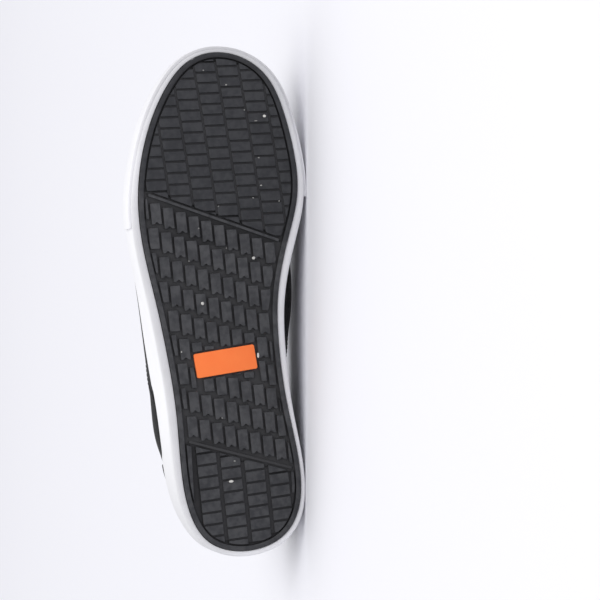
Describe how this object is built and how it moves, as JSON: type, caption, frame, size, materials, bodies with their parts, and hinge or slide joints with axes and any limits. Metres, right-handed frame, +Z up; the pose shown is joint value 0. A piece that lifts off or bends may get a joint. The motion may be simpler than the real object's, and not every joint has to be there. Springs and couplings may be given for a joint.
{
  "type": "slip-on sneaker",
  "caption": "Right slip-on sneaker lying on its inner side: hollow cloth upper with elastic gores on a rubber sole with a brick and bar tread.",
  "frame": {"origin": "on the floor, at the middle of the bounding box's footprint", "axes": "+X towards the toe, -Y the way the tread faces, +Z up with the outer side of the foot on top"},
  "size_m": [0.295, 0.0902, 0.105],
  "materials": {
    "dark_rubber": "matt, slightly worn",
    "orange_rubber": "satin",
    "white_rubber": "satin",
    "black_canvas": "plain weave",
    "black_overlay": "close weave",
    "elastic": "ribbed",
    "binding_tape": "fine twill",
    "foam_sock": "brushed cloth over foam"
  },
  "bodies": {
    "root": {"outsole": "dark_rubber", "sole_label": "orange_rubber", "foxing": "white_rubber", "toe_strip": "white_rubber", "upper": "black_canvas", "heel_counter": "black_overlay", "gore_lateral": "elastic", "gore_medial": "elastic", "collar_binding": "binding_tape", "insole": "foam_sock"}
  },
  "joints": []
}
